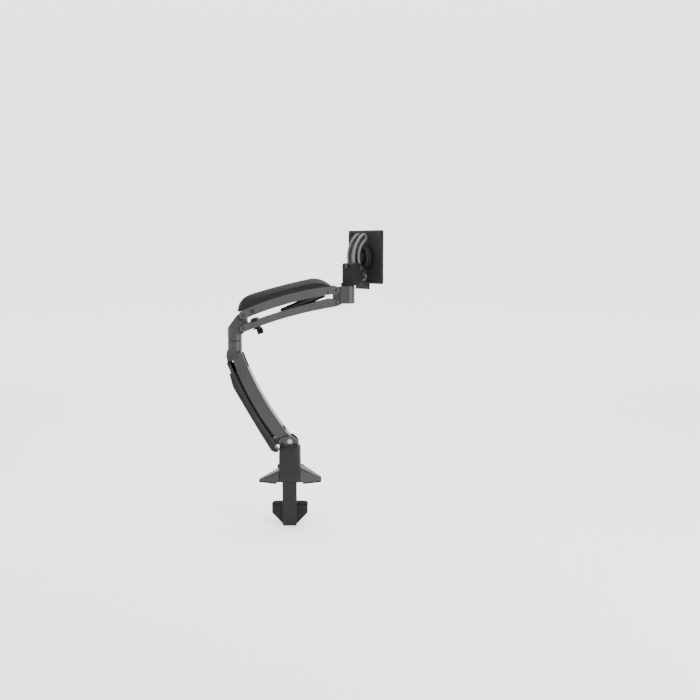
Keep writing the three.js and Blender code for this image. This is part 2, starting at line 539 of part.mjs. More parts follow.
// ---- head: yoke, tilt flanges, hub, plate ---------------------------------------
const KNUCKLE_TOP = END_TOP - HUB_Z;           // in the head's frame
const YOKE_HALF = 17.7;
const CHEEK_INNER = 13.9;
const FLANGE_Y = [8, 12];
const PLATE_FRONT = PLATE_REACH;
const PLATE_BACK = PLATE_REACH - PLATE_THICK;
const HUB_R = 27.5;
const RIM = 9;                    // half the width of a curved flange
const HOLE_PITCH = [75, 100];

function headGroup() {
  const group = new THREE.Group();
  group.position.set(END_X, 0, HUB_Z);
  group.rotation.z = HEAD_TURN;
  arm.add(group);
  return group;
}

function onSlot(angle, radius = SLOT_R) {
  return [TILT_CENTRE + radius * Math.cos(angle * DEG), radius * Math.sin(angle * DEG)];
}

const TILT_PINS = { tilt_pin_upper: 207, tilt_pin_lower: 222 };

function buildYoke(group) {
  const bottom = KNUCKLE_TOP + 1.4;
  const foot = barZ(0, 0, END_R, bottom, bottom + 6, 36)
    .add(block(0, 16, -YOKE_HALF, YOKE_HALF, bottom, bottom + 6));
  const side = rounded([[-1.4, bottom], [15, bottom], [36, -40, 6], [33, -24, 8], [22, -14, 8],
    [4, -12.5, 3], [-1.4, -15, 2]]);
  const shell = slabY(side, -YOKE_HALF, YOKE_HALF).subtract(
    block(3, 60, -CHEEK_INNER, CHEEK_INNER, bottom + 6, 20));
  const stub = barZ(0, 0, SHAFT_R, KNUCKLE_TOP - 32, bottom + 1, 24);
  const holes = Object.values(TILT_PINS).map((angle) => barY(...onSlot(angle), 2.8, -30, 30, 16));
  place(group, 'head_yoke', cut(join(foot, shell, stub), ...holes,
    barX(0, -20, 2.6, -5, 10, 16)), DARK_PAINT);
  for (const [name, angle] of Object.entries(TILT_PINS)) {
    const [x, z] = onSlot(angle);
    const shank = barY(x, z, 2.5, -19, 19, 16);
    place(group, name, join(shank, barY(x, z, 4.6, -20.5, -YOKE_HALF - GAP, 20)), BRIGHT_STEEL);
  }
  const screw = join(barX(0, -20, 2.3, -2, 5, 16), barX(0, -20, 4.4, -4.4, -1.7, 20));
  place(group, 'yoke_screw', screw, BLACK_STEEL);
}

// A curved flange with a curved slot, centred on the tilt axis.
function flange(y0, y1) {
  const half = 55;
  const centre = [TILT_CENTRE, 0];
  const arc = new THREE.Shape();
  arc.absarc(...centre, SLOT_R + RIM, (180 - half) * DEG, (180 + half) * DEG, false);
  arc.absarc(...onSlot(180 + half), RIM, (180 + half) * DEG, half * DEG, false);
  arc.absarc(...centre, SLOT_R - RIM, (180 + half) * DEG, (180 - half) * DEG, true);
  arc.absarc(...onSlot(180 - half), RIM, -half * DEG, (180 - half) * DEG, false);
  const slot = new THREE.Path();
  slot.absarc(...centre, SLOT_R + 3, (180 - half) * DEG, (180 + half) * DEG, false);
  slot.absarc(...onSlot(180 + half), 3, (180 + half) * DEG, half * DEG, false);
  slot.absarc(...centre, SLOT_R - 3, (180 + half) * DEG, (180 - half) * DEG, true);
  slot.absarc(...onSlot(180 - half), 3, -half * DEG, (180 - half) * DEG, false);
  arc.holes.push(slot);
  const slab = new THREE.ExtrudeGeometry(arc, { depth: y1 - y0, bevelEnabled: false, curveSegments: 9 });
  const body = solid(slab.rotateX(Math.PI / 2).translate(0, y1, 0));
  const web = block(TILT_CENTRE - SLOT_R + 7, PLATE_BACK - 12.6, y0, y1, -8, 8);
  return join(body, web);
}

function buildTilt(group) {
  place(group, 'tilt_flange_near', flange(-FLANGE_Y[1], -FLANGE_Y[0]), ZINC);
  place(group, 'tilt_flange_far', flange(...FLANGE_Y), ZINC);
  const hub = join(barX(0, 0, HUB_R, PLATE_BACK - 12, PLATE_BACK - 0.8, 40),
    block(PLATE_BACK - 24, PLATE_BACK - 11.5, -FLANGE_Y[0] + GAP, FLANGE_Y[0] - GAP, -18, 18));
  place(group, 'tilt_hub', hub, DARK_PAINT);
}

function buildPlate(group) {
  const half = PLATE_SIDE / 2;
  const square = rounded([[-half, -half, 4], [half, -half, 4], [half, half, 4], [-half, half, 4]]);
  const sheet = slabZ(square, 0, PLATE_THICK).rotate([90, 0, 90]).translate([PLATE_BACK, 0, 0]);
  const holes = HOLE_PITCH.flatMap((pitch) => [[-1, -1], [-1, 1], [1, -1], [1, 1]].map(([a, b]) =>
    barX(a * pitch / 2, b * pitch / 2, 2.6, 40, 60, 14)));
  place(group, 'monitor_plate', cut(sheet, ...holes), DARK_PAINT);
  const tab = block(PLATE_BACK - 8, PLATE_BACK - GAP, -23, 23, -57, -54)
    .add(block(PLATE_BACK - 8, PLATE_BACK - 5.5, -23, 23, -70, -54));
  place(group, 'lock_tab', cut(tab, barX(-18, -65, 2.6, 20, 60, 14)), DARK_PAINT);
  place(group, 'lock_screw', join(barX(-18, -65, 2.3, PLATE_BACK - 9, PLATE_BACK - 3, 14),
    barX(-18, -65, 4.4, PLATE_BACK - 11, PLATE_BACK - 8.3, 18)), BLACK_STEEL);
  const corners = [['upper_near', -1, 1], ['upper_far', 1, 1], ['lower_near', -1, -1], ['lower_far', 1, -1]];
  for (const [name, a, b] of corners) {
    const [y, z] = [a * 50, b * 50];
    const screw = join(barX(y, z, 2, PLATE_BACK - 1, PLATE_FRONT - GAP, 14),
      barX(y, z, 4, PLATE_BACK - 3, PLATE_BACK - GAP, 18));
    const recess = barX(y, z, 1.8, PLATE_BACK - 4, PLATE_BACK - 1.6, 6);
    place(group, `monitor_screw_${name}`, cut(screw, recess), BLACK_STEEL);
  }
}

buildColumn();
buildFoot();
buildClamp();
buildTurret();
buildLowerLink();
buildOuterLink();
buildElbow();
buildUpperLink();
buildSupportLink();
buildEndKnuckle();
const head = headGroup();
buildYoke(head);
buildTilt(head);
buildPlate(head);

export default arm;
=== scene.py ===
# Desk-clamp monitor arm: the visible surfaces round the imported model.
import json

import bmesh
import bpy
import numpy as np
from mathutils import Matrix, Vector


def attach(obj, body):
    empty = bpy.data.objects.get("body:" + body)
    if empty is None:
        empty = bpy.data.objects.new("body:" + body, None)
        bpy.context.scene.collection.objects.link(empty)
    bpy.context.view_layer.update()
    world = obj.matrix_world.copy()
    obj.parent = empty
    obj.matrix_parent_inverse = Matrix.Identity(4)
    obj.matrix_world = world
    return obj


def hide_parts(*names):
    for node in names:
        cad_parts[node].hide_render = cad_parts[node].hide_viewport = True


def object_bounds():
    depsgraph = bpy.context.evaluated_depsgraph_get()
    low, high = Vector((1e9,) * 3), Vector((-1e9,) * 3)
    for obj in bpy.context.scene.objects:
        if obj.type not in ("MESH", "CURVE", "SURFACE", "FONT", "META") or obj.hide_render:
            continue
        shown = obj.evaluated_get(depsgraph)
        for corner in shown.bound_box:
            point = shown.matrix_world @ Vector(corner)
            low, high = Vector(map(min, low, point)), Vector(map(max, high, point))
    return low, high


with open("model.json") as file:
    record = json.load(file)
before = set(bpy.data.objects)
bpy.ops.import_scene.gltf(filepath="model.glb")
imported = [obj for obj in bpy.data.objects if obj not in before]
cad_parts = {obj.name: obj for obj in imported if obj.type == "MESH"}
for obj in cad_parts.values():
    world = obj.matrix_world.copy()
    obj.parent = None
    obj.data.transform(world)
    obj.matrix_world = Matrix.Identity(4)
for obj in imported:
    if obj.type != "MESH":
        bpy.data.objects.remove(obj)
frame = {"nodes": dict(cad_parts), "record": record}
cad_low, cad_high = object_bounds()

# ---- camera ------------------------------------------------------------------
# Eye level is just under the top of the upper arm, two metres back, and the camera
# is tipped a little down, so the clamp at the bottom is seen slightly from above.
camera_data = bpy.data.cameras.new("camera")
camera_data.sensor_width = 36.0
camera_data.lens = 46.3
camera_data.clip_start = 0.05
camera_data.clip_end = 60.0
camera = bpy.data.objects.new("camera", camera_data)
camera.location = (0.1329, -1.9548, 0.5144)
camera.rotation_euler = (np.radians(90.0 - 6.4), 0.0, 0.0)
bpy.context.scene.collection.objects.link(camera)
bpy.context.scene.camera = camera


# ---- studio: paper sweep and soft lights ------------------------------------------
# A roll of white matte paper hangs behind the arm and runs out under it. The paper glows as
# painted light, dim on the floor in front and full white towards the back. A tall soft window
# stands to the right, a big one overhead, and a weaker one to the left.
def sheet_mesh(name, points, closed_u=False, closed_v=False):
    """Mesh of a grid of points (rows, columns, 3); a closed side joins its last line to its first."""
    rows, columns = points.shape[:2]
    row = np.arange(rows if closed_u else rows - 1)
    column = np.arange(columns if closed_v else columns - 1)
    i, j = (side.ravel() for side in np.meshgrid(row, column, indexing="ij"))
    i1, j1 = (i + 1) % rows, (j + 1) % columns
    faces = np.stack([i * columns + j, i1 * columns + j, i1 * columns + j1, i * columns + j1], axis=1)
    mesh = bpy.data.meshes.new(name)
    mesh.from_pydata(points.reshape(-1, 3).tolist(), [], faces.tolist())
    return mesh


def add_object(name, mesh):
    thing = bpy.data.objects.new(name, mesh)
    bpy.context.scene.collection.objects.link(thing)
    return thing


def sweep_points(width, near, far, height, bend, floor_z):
    """A flat floor that turns up in a quarter circle of radius bend into an upright wall."""
    turn = np.radians(np.linspace(0, 90, 16))
    y = np.concatenate([[near], far - bend + bend * np.sin(turn), [far]])
    z = np.concatenate([[0.0], bend - bend * np.cos(turn), [height]]) + floor_z
    x = np.array([-width, width])
    return np.stack(np.broadcast_arrays(x[:, None], y[None, :], z[None, :]), axis=2)


def studio_light(name, place, width, height, watts):
    """A soft rectangular lamp that faces the middle of the arm."""
    data = bpy.data.lights.new(name, "AREA")
    data.shape = "RECTANGLE"
    data.size = width
    data.size_y = height
    data.energy = watts
    lamp = bpy.data.objects.new(name, data)
    lamp.location = place
    lamp.rotation_euler = (Vector((0.0, 0.0, 0.28)) - Vector(place)).to_track_quat("-Z", "Y").to_euler()
    bpy.context.scene.collection.objects.link(lamp)


class Wire:
    """A shader socket; arithmetic on it adds the Math node that works it out."""

    def __init__(self, tree, socket):
        self.tree = tree
        self.socket = socket

    def math(self, operation, *values):
        node = self.tree.nodes.new("ShaderNodeMath")
        node.operation = operation
        for target, value in zip(node.inputs, values):
            if isinstance(value, Wire):
                self.tree.links.new(value.socket, target)
            else:
                target.default_value = value
        return Wire(self.tree, node.outputs[0])

    def __add__(self, other):
        return self.math("ADD", self, other)

    def __sub__(self, other):
        return self.math("SUBTRACT", self, other)

    def __rsub__(self, other):
        return self.math("SUBTRACT", other, self)

    def __mul__(self, other):
        return self.math("MULTIPLY", self, other)

    def __truediv__(self, other):
        return self.math("DIVIDE", self, other)

    def __rtruediv__(self, other):
        return self.math("DIVIDE", other, self)

    __radd__ = __add__
    __rmul__ = __mul__


class Finish:
    """A material under construction: its Principled shader and a way to add any node."""

    def __init__(self, name):
        self.material = bpy.data.materials.new(name)
        self.material.use_nodes = True
        self.tree = self.material.node_tree
        self.shader = self.tree.nodes["Principled BSDF"]

    def set_inputs(self, node, inputs):
        for key, value in inputs.items():
            target = node.inputs[key.replace("_", " ")]
            if isinstance(value, Wire):
                self.tree.links.new(value.socket, target)
            else:
                target.default_value = value

    def node(self, kind, output=0, settings=None, **inputs):
        new_node = self.tree.nodes.new(kind)
        for key, value in (settings or {}).items():
            setattr(new_node, key, value)
        self.set_inputs(new_node, inputs)
        return Wire(self.tree, new_node.outputs[output])

    def place(self):
        return self.node("ShaderNodeTexCoord", "Object")

    def noise(self, scale, detail, where=None):
        where = where or self.place()
        return self.node("ShaderNodeTexNoise", "Fac", Vector=where, Scale=scale, Detail=detail)

    def blend(self, share, first, second):
        """Mixes two colours; a Mix node that works on colours has them at its inputs 6 and 7."""
        factor, colour_a, colour_b, result = 0, 6, 7, 2
        mix = self.tree.nodes.new("ShaderNodeMix")
        mix.data_type = "RGBA"
        self.tree.links.new(share.socket, mix.inputs[factor])
        mix.inputs[colour_a].default_value = (*first, 1.0)
        mix.inputs[colour_b].default_value = (*second, 1.0)
        return Wire(self.tree, mix.outputs[result])

    def feed(self, **inputs):
        self.set_inputs(self.shader, inputs)

    def bump(self, height, depth, strength):
        normal = self.node("ShaderNodeBump", "Normal", Height=height, Distance=depth, Strength=strength)
        self.feed(Normal=normal)


SWEEP_HALF_WIDTH = 24.0
SWEEP_NEAR = -24.0
SWEEP_FAR = 6.0
SWEEP_HEIGHT = 14.0
SWEEP_BEND = 3.0
FLOOR_GAP = 0.001
GLOW_START = 1.0        # how far in front of the arm the floor begins to glow
GLOW_LENGTH = 4.0
sweep_grid = sweep_points(
    SWEEP_HALF_WIDTH, SWEEP_NEAR, SWEEP_FAR, SWEEP_HEIGHT, SWEEP_BEND, cad_low.z - FLOOR_GAP)
sweep = add_object("studio_sweep", sheet_mesh("studio_sweep", sweep_grid))
sweep.data.polygons.foreach_set("use_smooth", np.ones(len(sweep.data.polygons), bool))
paper = Finish("studio_paper")
back = paper.node("ShaderNodeSeparateXYZ", "Y", Vector=paper.place())
# painted light: the paper's glow ramps from dim in front of the arm to full white behind it
behind = back.math("MAXIMUM", (back + GLOW_START) / GLOW_LENGTH, 0.0)
paper.feed(Base_Color=(0.96, 0.96, 0.96, 1.0), Roughness=0.95, Emission_Strength=1.45)
paper.feed(Emission_Color=paper.blend(behind, (0.35, 0.35, 0.35), (1.0, 1.0, 1.0)))
sweep.data.materials.append(paper.material)

studio_light("right_window", (1.55, -1.2, 0.75), 0.32, 1.7, 34.0)
studio_light("left_window", (-1.7, -1.3, 0.7), 1.0, 1.4, 5.0)
studio_light("overhead_window", (0.0, 0.0, 2.0), 1.6, 0.9, 40.0)
sky = bpy.data.worlds.new("studio_sky")
sky.use_nodes = True
sky.node_tree.nodes["Background"].inputs["Color"].default_value = (1.0, 1.0, 1.0, 1.0)
sky.node_tree.nodes["Background"].inputs["Strength"].default_value = 0.8
bpy.context.scene.world = sky


# ---- column --------------------------------------------------------------------------
# A square post with well rounded corners, cast in aluminium and powder coated charcoal.
# Its neck turns round at the top, where the arm swivels on a nylon bush.
def powder_coat(name, dark, light, roughness, gloss=0.34):
    """Baked powder: a fine orange peel, slow drifts of tone, and a scatter of duller specks."""
    finish = Finish(name)
    drift = finish.noise(24.0, 4.0)
    speck = finish.noise(1500.0, 2.0)
    finish.feed(Base_Color=finish.blend(drift * 0.6 + speck * 0.4, dark, light))
    finish.feed(Roughness=drift * 0.1 + speck * 0.1 + (roughness - 0.1))
    finish.feed(Specular_IOR_Level=gloss)
    finish.bump(speck + finish.noise(420.0, 2.0) * 0.8, 0.00006, 0.5)
    return finish.material


def owner(node):
    """The body that carries a node of the frame, and the node's material slot."""
    bodies = frame["record"]["behaviour"]["bodies"]
    body = next(name for name, nodes in bodies.items() if node in nodes)
    slot = next(part["material_slot"] for part in frame["record"]["subparts"] if part["node"] == node)
    return body, slot


SHARP = 32.0


def shaded(piece, sharp):
    """Smooth shading that breaks at edges sharper than sharp degrees."""
    piece.data.polygons.foreach_set("use_smooth", np.ones(len(piece.data.polygons), bool))
    piece.data.set_sharp_from_angle(angle=np.radians(sharp))


def worn_edges(piece, width, steps):
    """Rounds every edge sharper than SHARP degrees by width metres."""
    bevel = piece.modifiers.new("worn_edge", "BEVEL")
    bevel.width = width
    bevel.segments = steps
    bevel.limit_method = "ANGLE"
    bevel.angle_limit = np.radians(SHARP)
    bevel.harden_normals = True


def dressed(node, finish, edge, steps=2):
    """The frame's own solid, its flat faces made whole, with its sharp edges rounded by edge metres."""
    mesh = frame["nodes"][node].data.copy()
    mesh.name = f"{node}_surface"
    shape = bmesh.new()
    shape.from_mesh(mesh)
    bmesh.ops.remove_doubles(shape, verts=shape.verts, dist=2e-6)
    bmesh.ops.dissolve_limit(shape, angle_limit=np.radians(1.0), verts=shape.verts, edges=shape.edges)
    shape.to_mesh(mesh)
    shape.free()
    mesh.materials.clear()
    mesh.materials.append(finish)
    piece = add_object(f"{node}_surface", mesh)
    shaded(piece, SHARP)
    worn_edges(piece, edge, steps)
    body, slot = owner(node)
    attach(piece, body)
    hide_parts(node)


def column_points(half, bottom, top):
    """Post walls: at each height the section is a superellipse |x|^n + |y|^n = half^n. The power n eases
    from 9, nearly square, to 3 near the top, where the wall turns in to the bore of the neck."""
    bore = 0.0078
    bore_bottom = 0.0715
    height = np.array([bottom, bottom + 0.001, 0.02, 0.035, 0.05, 0.058, 0.064, 0.070, 0.076,
                       top - 0.0022, top - 0.0008, top, top, bore_bottom])
    reach = np.array([half - 0.0006] + [half] * 8
                     + [half - 0.0002, half - 0.0012, half - 0.003, bore, bore])
    power = np.array([9, 9, 9, 9, 8.5, 7.5, 6.2, 5, 4, 3.2, 3.0, 2.8, 2.0, 2.0])
    turn = np.linspace(0.0, 2.0 * np.pi, 96, endpoint=False)
    c, s = np.cos(turn)[None, :], np.sin(turn)[None, :]
    power = power[:, None]
    spread = reach[:, None] * (np.abs(c) ** power + np.abs(s) ** power) ** (-1 / power)
    return np.stack(np.broadcast_arrays(spread * c, spread * s, height[:, None]), axis=2)


charcoal_coat = powder_coat("charcoal_powder_coat", (0.009, 0.009, 0.0097), (0.017, 0.017, 0.018), 0.55, 0.18)
COLUMN_HALF = 0.0235
COLUMN_BOTTOM = 0.0073
COLUMN_TOP = 0.084
column_grid = column_points(COLUMN_HALF, COLUMN_BOTTOM, COLUMN_TOP)
column = add_object("base_column_surface", sheet_mesh("base_column_surface", column_grid, closed_v=True))
shape = bmesh.new()
shape.from_mesh(column.data)
bmesh.ops.recalc_face_normals(shape, faces=shape.faces)
shape.to_mesh(column.data)
shape.free()
column.data.materials.append(charcoal_coat)
shaded(column, 40.0)
wall = column.modifiers.new("cast_wall", "SOLIDIFY")
wall.thickness = 0.0011
wall.offset = -1.0
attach(column, "base")
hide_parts("base_column")


# ---- foot ------------------------------------------------------------------------------
# A pressed and welded steel foot with two wings that drop to low tips and sweep back,
# powder coated grey and screwed up into the column from below.
foot_coat = powder_coat("foot_powder_coat", (0.020, 0.0202, 0.021), (0.036, 0.0362, 0.0375), 0.44, 0.26)
dressed("base_foot", foot_coat, 0.0012, steps=3)


# ---- foot pad and foot screws ------------------------------------------------------------
# A sheet of black rubber glued under the foot, and two plated button screws that hold
# the foot to the column.
def moulded(name, dark, light, roughness, grain):
    """Moulded plastic or rubber: a fine eroded grain, a little lighter on its high spots."""
    finish = Finish(name)
    grain_height = finish.noise(grain, 5.0)
    cloud = finish.noise(11.0, 3.0)
    finish.feed(Base_Color=finish.blend(grain_height * 0.5 + cloud * 0.5, dark, light))
    finish.feed(Roughness=cloud * 0.12 + grain_height * 0.08 + (roughness - 0.1))
    finish.feed(Specular_IOR_Level=0.15)
    finish.bump(grain_height, 0.00008, 0.6)
    return finish.material


def metal(name, dark, light, roughness, metallic, scratch):
    """Turned or plated metal: fine scratches stretched along the part."""
    finish = Finish(name)
    spread = finish.node("ShaderNodeMapping", "Vector", Vector=finish.place(), Scale=(1.0, scratch, 1.0))
    lines = finish.noise(260.0, 4.0, spread)
    stain = finish.noise(60.0, 2.0)
    finish.feed(Base_Color=finish.blend(stain * 0.6 + lines * 0.4, dark, light))
    finish.feed(Roughness=lines * 0.15 + (roughness - 0.07), Metallic=metallic)
    finish.bump(lines, 0.00003, 0.4)
    return finish.material


def painted(finish, *nodes):
    """These nodes of the frame are shown as they are, in this finish."""
    for node in nodes:
        frame["nodes"][node].data.materials.clear()
        frame["nodes"][node].data.materials.append(finish)


pad_rubber = moulded("pad_rubber", (0.004, 0.004, 0.004), (0.009, 0.009, 0.009), 0.85, 600.0)
plated_steel = metal("plated_steel", (0.17, 0.17, 0.175), (0.26, 0.26, 0.265), 0.42, 0.7, 3.0)
dressed("foot_pad", pad_rubber, 0.0005)
painted(plated_steel, "foot_screw_left", "foot_screw_right")


# ---- clamp strip and jaw -------------------------------------------------------------------
# A flat steel strip slides down the front of the column and carries a folded jaw with a
# rubber pad. Two black hexagon-socket screws hold the jaw to the strip.
jaw_coat = powder_coat("jaw_powder_coat", (0.007, 0.007, 0.0075), (0.014, 0.014, 0.015), 0.58, 0.14)
black_steel = metal("black_oxide_steel", (0.006, 0.006, 0.0065), (0.016, 0.016, 0.017), 0.42, 0.3, 4.0)
dressed("clamp_strip", charcoal_coat, 0.0008, steps=3)
dressed("clamp_jaw", jaw_coat, 0.0008)
dressed("jaw_pad", pad_rubber, 0.0005)
painted(black_steel, "jaw_screw_upper", "jaw_screw_lower")


# ---- clamp screw and nut ----------------------------------------------------------------------
# A long socket screw, zinc plated, hangs in the column. It draws the strip up by a plated
# nut on the strip's back.
painted(plated_steel, "clamp_nut", "clamp_screw")


# ---- turret and its pins ---------------------------------------------------------------------
# A die-cast fork that turns on the column. Two pins cross it, the upper one ground bright.
# Two black ovals on the foot of each cheek are painted shade for the dark gaps between the
# turret and the column.
def closed_mesh(name, points, closed_u=False):
    """A grid closed round its second side, its poles and seams merged and its faces turned outwards."""
    mesh = sheet_mesh(name, points, closed_u, True)
    shape = bmesh.new()
    shape.from_mesh(mesh)
    bmesh.ops.remove_doubles(shape, verts=shape.verts, dist=1e-6)
    bmesh.ops.dissolve_degenerate(shape, dist=1e-7, edges=shape.edges)
    bmesh.ops.recalc_face_normals(shape, faces=shape.faces)
    shape.to_mesh(mesh)
    shape.free()
    return mesh


def made(name, mesh, finish, body, node=None, sharp=SHARP):
    """Adds a finished new piece: its material, shading and body, and hides the node it stands for."""
    mesh.materials.append(finish)
    piece = add_object(name, mesh)
    shaded(piece, sharp)
    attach(piece, body)
    if node:
        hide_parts(node)


def turned(name, profile, centre, axis, sides=48):
    """A lathe shape: each (height, radius) of the profile is a ring that far along the axis from centre
    and that far away from it."""
    height, radius = np.array(profile).T
    along = Vector(axis).normalized()
    across = along.orthogonal().normalized()
    beside = along.cross(across)
    turn = np.linspace(0.0, 2.0 * np.pi, sides, endpoint=False)
    ring = np.cos(turn)[:, None] * np.array(across) + np.sin(turn)[:, None] * np.array(beside)
    stalk = np.array(centre) + height[:, None, None] * np.array(along)
    points = stalk + radius[:, None, None] * ring[None]
    return closed_mesh(name, points)


def oval_shade_plug(name, centre, width, height, proud):
    """A flat-faced oval plug along Y: a superellipse |x/a|^3 + |z/b|^3 = 1 whose face is a little smaller."""
    turn = np.linspace(0.0, 2.0 * np.pi, 40, endpoint=False)
    x = np.sign(np.cos(turn)) * np.abs(np.cos(turn)) ** (2 / 3)
    z = np.sign(np.sin(turn)) * np.abs(np.sin(turn)) ** (2 / 3)
    share = np.array([0.0, 1.0, 1.0, 0.9, 0.0])
    depth = np.array([-1.0, -1.0, 0.7, 1.0, 1.0]) * proud
    points = np.stack(np.broadcast_arrays(
        centre[0] + share[:, None] * width / 2 * x[None],
        centre[1] + depth[:, None] + 0 * x[None],
        centre[2] + share[:, None] * height / 2 * z[None]), axis=2)
    return closed_mesh(name, points)


black_nylon = moulded("black_nylon", (0.003, 0.003, 0.0034), (0.007, 0.007, 0.008), 0.5, 1200.0)
bright_steel = metal("ground_steel", (0.42, 0.42, 0.43), (0.62, 0.62, 0.62), 0.28, 1.0, 6.0)
CHEEK_FACE = 0.0155
WASHER_PROFILE = [(0.0, 0.0036), (0.0008, 0.0036), (0.0008, 0.0058), (0.0, 0.0064), (-0.0002, 0.0)]
SHADE_PLUG_WIDTH = 0.0105
SHADE_PLUG_HEIGHT = 0.0042
SHADE_PLUG_PROUD = 0.0002
SHADE_PLUG_Z = 0.0885
knuckle_coat = powder_coat("knuckle_powder_coat", (0.019, 0.0192, 0.020), (0.036, 0.0362, 0.0375), 0.35)
dressed("swivel_turret", knuckle_coat, 0.0012, steps=3)
dressed("lower_main_pin", bright_steel, 0.0004)
painted(black_nylon, "swivel_bush")
painted(knuckle_coat, "lower_outer_pin")
for side, face in (("near", -1), ("far", 1)):
    for end, x in (("left", -0.0158), ("right", 0.0123)):
        # painted shade: black ovals where the gaps between the turret and the column fall dark
        name = f"turret_shade_plug_{side}_{end}"
        place = (x, face * CHEEK_FACE, SHADE_PLUG_Z)
        shade_plug = oval_shade_plug(name, place, SHADE_PLUG_WIDTH, SHADE_PLUG_HEIGHT, SHADE_PLUG_PROUD)
        made(name, shade_plug, black_nylon, "turret")
    name = f"lower_pin_washer_{side}"
    pin_end = (0.001, face * CHEEK_FACE, 0.095)
    washer = turned(name, WASHER_PROFILE, pin_end, (0, face, 0))
    made(name, washer, plated_steel, "turret")


# ---- lower main link --------------------------------------------------------------------------
# The inner bar of the lower arm: a bowed channel bent from steel, open towards the outer
# link and powder coated grey. It turns on the two larger pins.
dressed("lower_main_link", knuckle_coat, 0.0014, steps=3)


# ---- lower spring -----------------------------------------------------------------------------
# A black gas spring inside the channel: its cylinder hangs on a pin near the elbow, and its
# bright rod presses on the turret.
painted(black_steel, "lower_spring_cylinder")
painted(knuckle_coat, "lower_spring_pin")
painted(bright_steel, "lower_spring_rod")


# ---- outer link and the painted shade in its groove ----------------------------------------------
# The outer bar of the lower arm is a solid bowed strip that keeps the elbow upright. A
# black bar along it fills the groove between the two bars: painted shade where the groove
# falls into shadow.
def parabola(x, first, last, bow):
    """Height at x of an arch from one (x, z) point to another that stands bow above the chord halfway."""
    share = (x - first[0]) / (last[0] - first[0])
    return first[1] + (last[1] - first[1]) * share + bow * 4 * share * (1 - share)


def in_link(pivot, angle, x, y, z):
    """Points given along, across and above a link that is turned angle degrees about its pivot in XZ."""
    turn = np.radians(angle)
    x, y, z = np.broadcast_arrays(x, y, z)
    return np.stack([pivot[0] + x * np.cos(turn) - z * np.sin(turn), y,
                     pivot[1] + x * np.sin(turn) + z * np.cos(turn)], axis=-1)


def capped(name, points):
    """A tube of rings of points, each end closed by a fan to the middle of its last ring."""
    middles = points.mean(axis=1, keepdims=True)
    first, last = (middles[[end]].repeat(points.shape[1], axis=1) for end in (0, -1))
    return closed_mesh(name, np.concatenate([first, points, last]))


def bar_mesh(name, pivot, angle, x, low, high, half, shift=0.0):
    """A bar along a link: at each x its section is a rectangle that runs from low to high and reaches half
    either side of shift."""
    corners_z = np.stack([low, low, high, high], axis=1)
    corners_y = shift + np.array([-half, half, half, -half])
    return capped(name, in_link(pivot, angle, x[:, None], corners_y[None, :], corners_z))


OUTER_PIVOT = (-0.0163, 0.0924)
LOWER_ANGLE = 121.17
strip_coat = powder_coat("strip_powder_coat", (0.012, 0.012, 0.013), (0.021, 0.021, 0.0225), 0.5, 0.22)
# painted shade: the outer link is coated darker than the main link's grey, for the shadow it lies in
dressed("lower_outer_link", strip_coat, 0.0010, steps=3)
PIVOTS_APART = (0.00673, 0.01615)       # from the main link's pivot to this one, along and across
GROOVE_SHADE_HALF = 0.0108
GROOVE_SHADE_SUNK = 0.0012
SPRING_END = 0.1895
OVER_SPRING = 0.00095                   # the spring needs the most room where the arm stands upright
PAST_SPRING = -0.0008
END_START = 0.184
END_HALF = 0.0026
END_SHIFT = 0.0082
run = np.linspace(0.018, 0.206, 95)
main_link_top = parabola(run + PIVOTS_APART[0], (0.012, 0.0205), (0.205, 0.0145), 0.008)
groove_shade_low = main_link_top - GROOVE_SHADE_SUNK - PIVOTS_APART[1]
groove_shade_cleared = np.maximum(groove_shade_low, np.where(run < SPRING_END, OVER_SPRING, PAST_SPRING))
groove_shade_high = parabola(run, (0.002, 0.0126), (0.208, 0.0042), 0.006) + 0.0006
# painted shade: a black bar filling the groove between the two bars
groove_shade = bar_mesh("groove_shade_bar", OUTER_PIVOT, LOWER_ANGLE, run, groove_shade_cleared, groove_shade_high, GROOVE_SHADE_HALF)
made("groove_shade_bar", groove_shade, black_nylon, "outer_link")
tail = run > END_START
# painted shade: two short black bars at the elbow end of the groove
for side, face in (("near", -1), ("far", 1)):
    name = f"groove_shade_end_{side}"
    groove_shade_end = bar_mesh(name, OUTER_PIVOT, LOWER_ANGLE, run[tail], groove_shade_low[tail], groove_shade_high[tail],
                         END_HALF, face * END_SHIFT)
    made(name, groove_shade_end, black_nylon, "outer_link")


# ---- lower cover -------------------------------------------------------------------------------
# A shell moulded in charcoal plastic, with softly rounded long edges. It is clipped to the
# outer link, which it covers for most of its length.
def shell_mesh(name, pivot, angle, x, base, crest, half, shoulder):
    """A capped shell along a link: at each x its section is a flat base with upright sides, over which a
    slanted shoulder starts at the share of the height called shoulder and leans in to a low crown."""
    lean = np.array([1.0, 1.0, 0.985, 0.93, 0.72, 0.46, 0.30, 0.0])
    climb = np.array([0.0, 0.90, 0.98, 1.06, 1.46, 1.86, 1.97, 2.0]) - 1.0
    half_rise = np.where(climb < 0, shoulder * (1 + climb), shoulder + (1 - shoulder) * climb)
    y = half * np.concatenate([lean, -lean[-2::-1]])
    rise = np.concatenate([half_rise, half_rise[-2::-1]])
    z = base[:, None] + (crest - base)[:, None] * rise[None, :]
    points = in_link(pivot, angle, x[:, None], y[None, :], z)
    closing = points[:, [0, -1]].mean(axis=1, keepdims=True)
    return capped(name, np.concatenate([points, closing], axis=1))


